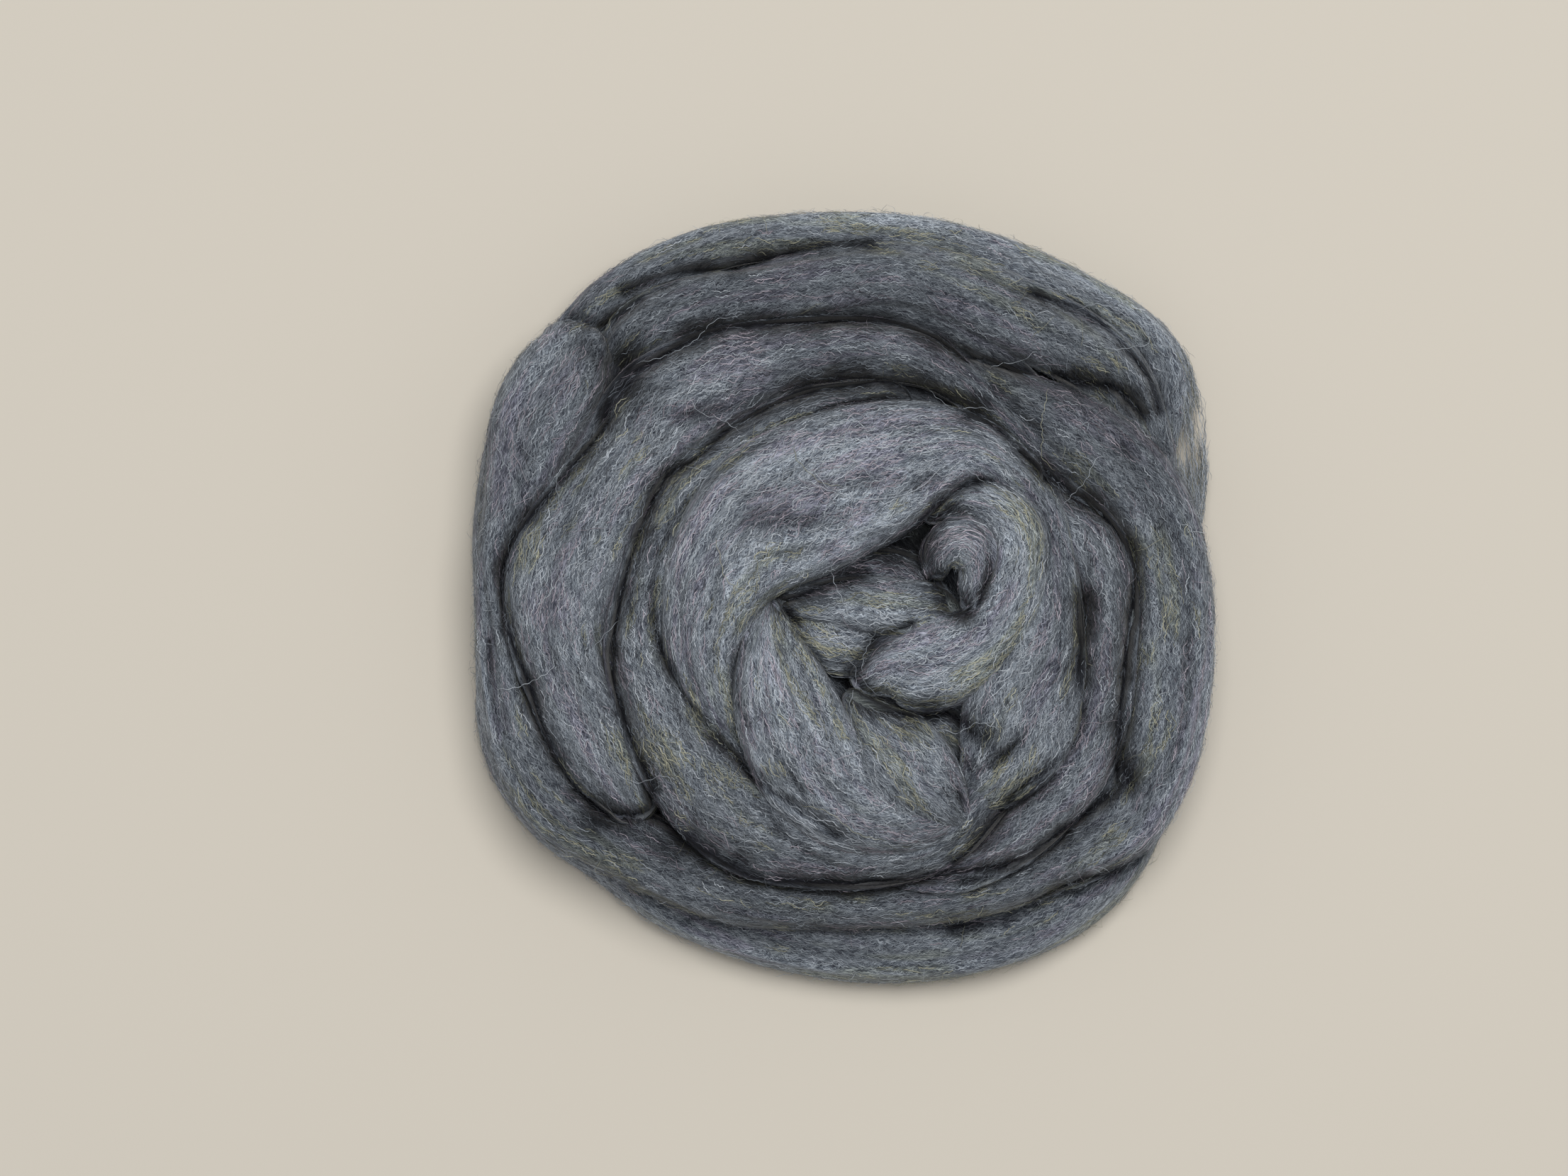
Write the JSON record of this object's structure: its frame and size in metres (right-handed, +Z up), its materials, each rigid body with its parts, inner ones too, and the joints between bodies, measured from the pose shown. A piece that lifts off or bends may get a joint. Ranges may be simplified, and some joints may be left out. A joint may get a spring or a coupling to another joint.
{
  "type": "wool roving nest",
  "caption": "Low round nest of slate-grey combed wool roving, its soft turns wound in a spiral and the last length folded into the middle.",
  "frame": {"origin": "middle of the bounding box at the flat underside that the nest lies on", "axes": "+Z up out of the nest, along its shortest extent; +Y is the side with the knuckle on its left, +X to the right of it"},
  "size_m": [0.2139, 0.2191, 0.0574],
  "materials": {
    "combed_wool": "matte slate blue-grey combed wool, fine crimped fibres with a soft fuzz"
  },
  "bodies": {
    "root": {"roving_nest": "combed_wool"}
  },
  "joints": []
}
